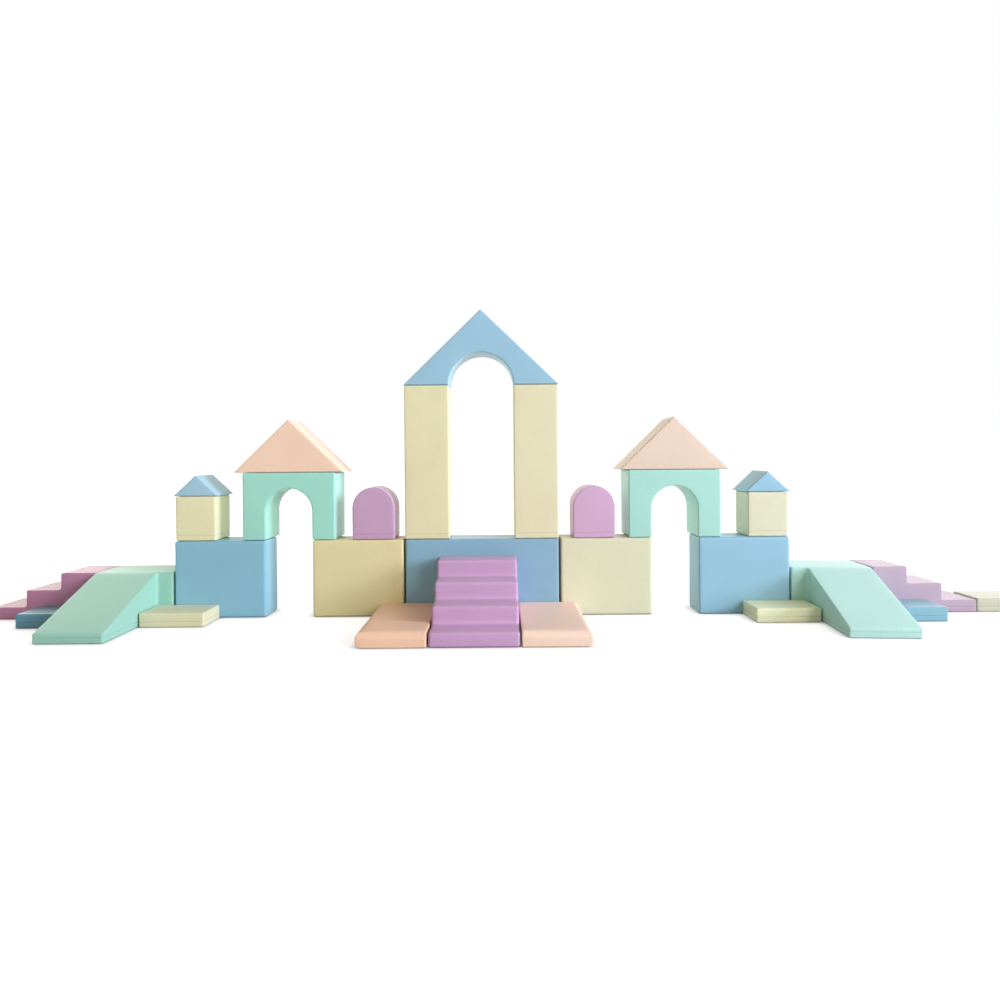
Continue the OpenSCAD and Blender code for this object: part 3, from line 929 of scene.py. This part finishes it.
def placing(spec, node, way):
    # from the modelled block to the place of its copy
    low, high = modelBox(spec)
    start, turn = centreOf((low, high)), Matrix.Identity(4)
    if way == "mirror":
        turn = Matrix.Scale(-1, 4, (1, 0, 0))
    if way == "turned":
        turn = Matrix.Rotation(-math.radians(spec["turn"]), 4, "Z")
        wall, inner = low.y + spec["rampRun"], high.x - spec["rampWidth"]
        corners = ((low.x, wall), (low.x, high.y), (high.x, high.y), (high.x, low.y), (inner, low.y))
        turned = [turn @ Vector((x, y, start.z)) for x, y in corners]
        reach = [[pick(c[axis] for c in turned) for axis in range(3)] for pick in (min, max)]
        start = turn.inverted() @ centreOf([Vector(corner) for corner in reach])
    return Matrix.Translation(centreOf(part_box(node))) @ turn @ Matrix.Translation(-start)


count = 0
for spec in blocks:
    for node, body, slot, way in spec["copies"]:
        move = placing(spec, node, way)
        flipped = way == "mirror"
        stem = node[:-len("_cover")]
        cover = placeCopy(spec["block"], camel(node), move, flipped)
        finish = finishes[slot]
        # a copy with painted light and shade gets its own finish: its dye times these factors
        roll = spec.get("rolls", {}).get(node)
        if roll:
            dye = [min(share * part, palestDye) for share, part in zip(dyes[slot], roll)]
            finish = coverFinish(camel(node), dye, sewnLeather)
        dress(cover, finish)
        core = placeCopy(spec["core"], camel(stem + "_core"), move, flipped)
        dress(core, finishes["foam"])
        fastener = placeCopy(spec["fastener"], camel(stem + "_zip"), move, flipped)
        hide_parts(node)
        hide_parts(stem + "_core")
        for piece in (cover, core, fastener):
            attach(piece, body)
        count += 1
    for source in (spec["block"], spec["core"], spec["fastener"]):
        bpy.data.objects.remove(source, do_unlink=True)
print("castle:", count, "blocks placed")


# floor, light and background

studio = {
    "floorSize": 60, "floorShade": 0.5, "sky": 0.12,
    "floorGlow": (0.75, 1.0), "glowFrom": (1.0, 3.0), "glowShape": (0.4, 1, 0),
    # how far the painted shade of the gaps and block feet reaches
    "gapPaintedShade": 0.06,
    "lamps": {
        "window": {
            "place": (30, -12, 8.5), "aim": (0.5, 0, 0.6), "size": (11, 11),
            "power": 11600, "tint": (0.75, 0.82, 1)},
        "rightFront": {
            "place": (5.2, -6.5, 3.2), "aim": (1.2, 0, 0.6), "size": (3, 3),
            "power": 277, "tint": (1, 0.97, 0.98)},
        "fill": {
            "place": (-4.2, -6.0, 2.4), "aim": (-0.5, 0, 0.6), "size": (4, 3),
            "power": 84, "tint": (1, 0.99, 0.73)},
        "ceiling": {
            "place": (0.5, -1.5, 5.2), "aim": (0, -0.2, 0), "size": (6, 3),
            "power": 38, "tint": (1, 0.8, 0.6)},
        "front": {
            "place": (0.3, -3.2, 1.6), "aim": (0, 0, 0.8), "size": (1.5, 1.5),
            "power": 3.7, "tint": (1, 1, 0.92)},
        "backdrop": {
            "place": (0, 3.2, 1.6), "aim": (0, 0, 1), "size": (9, 3.2),
            "power": 81, "tint": (0.96, 1, 0.87)},
        "backRight": {
            "place": (5.5, 3.0, 2.6), "aim": (0, 0, 0.8), "size": (3, 3),
            "power": 85, "tint": (1, 0.95, 0.99)},
        "backLeft": {
            "place": (-5.5, 3.0, 2.6), "aim": (0, 0, 0.8), "size": (3, 3),
            "power": 107, "tint": (0.97, 0.98, 0.8)},
    },
}


def seenRays(tree):
    # rays that show the white background: from the camera, mirrored or through glass
    rays = addNode(tree, "ShaderNodeLightPath")
    seen = mathNode(tree, "MAXIMUM", rays.outputs["Is Camera Ray"], rays.outputs["Is Glossy Ray"])
    return mathNode(tree, "MAXIMUM", seen, rays.outputs["Is Transmission Ray"])


def floorFinish():
    material = bpy.data.materials.new("studioFloor")
    material.use_nodes = True
    tree = material.node_tree
    tree.nodes.remove(tree.nodes["Principled BSDF"])
    out = tree.nodes["Material Output"]
    matt = addNode(tree, "ShaderNodeBsdfDiffuse", {"Color": (studio["floorShade"],) * 3 + (1,)})
    glow = addNode(tree, "ShaderNodeEmission", {"Color": (1, 1, 1, 1)})
    # the floor turns into the white backdrop a few metres away from the castle
    place = addNode(tree, "ShaderNodeTexCoord")
    flat = addNode(tree, "ShaderNodeVectorMath", {1: studio["glowShape"]}, operation="MULTIPLY")
    tree.links.new(place.outputs["Object"], flat.inputs[0])
    away = addNode(tree, "ShaderNodeVectorMath", operation="LENGTH")
    tree.links.new(flat.outputs[0], away.inputs[0])
    white = rangeNode(tree, away.outputs["Value"], *studio["glowFrom"], *studio["floorGlow"])
    # and painted shade darkens it in the narrow gaps between the blocks and where they stand on it
    free = addNode(tree, "ShaderNodeAmbientOcclusion", {"Distance": studio["gapPaintedShade"]}, samples=8)
    white = mathNode(tree, "MULTIPLY", white, free.outputs["AO"])
    tree.links.new(mathNode(tree, "MULTIPLY", seenRays(tree), white), glow.inputs["Strength"])
    both = tree.nodes.new("ShaderNodeAddShader")
    tree.links.new(matt.outputs[0], both.inputs[0])
    tree.links.new(glow.outputs[0], both.inputs[1])
    tree.links.new(both.outputs[0], out.inputs["Surface"])
    return material


def setSky():
    world = bpy.data.worlds.new("studioSky")
    scene.world = world
    world.use_nodes = True
    tree = world.node_tree
    back = tree.nodes["Background"]
    back.inputs["Color"].default_value = (1, 1, 1, 1)
    strength = rangeNode(tree, seenRays(tree), 0.0, 1.0, studio["sky"], 1.0)
    tree.links.new(strength, back.inputs["Strength"])


def addLamp(name, spec):
    bpy.ops.object.select_all(action="DESELECT")
    bpy.ops.object.light_add(type="AREA", location=spec["place"])
    lamp = bpy.context.active_object
    lamp.name = name
    lamp.data.shape = "RECTANGLE"
    lamp.data.size, lamp.data.size_y = spec["size"]
    lamp.data.energy = spec["power"]
    lamp.data.color = spec["tint"]
    lamp.visible_camera = False
    aim = Vector(spec["aim"]) - Vector(spec["place"])
    lamp.rotation_euler = aim.to_track_quat("-Z", "Y").to_euler()


bpy.ops.object.select_all(action="DESELECT")
bpy.ops.mesh.primitive_grid_add(x_subdivisions=8, y_subdivisions=8, size=studio["floorSize"])
floor = bpy.context.active_object
floor.name = "studioFloor"
dress(floor, floorFinish())
setSky()
for name, lamp in studio["lamps"].items():
    addLamp(name, lamp)
print("castle: floor and light set")
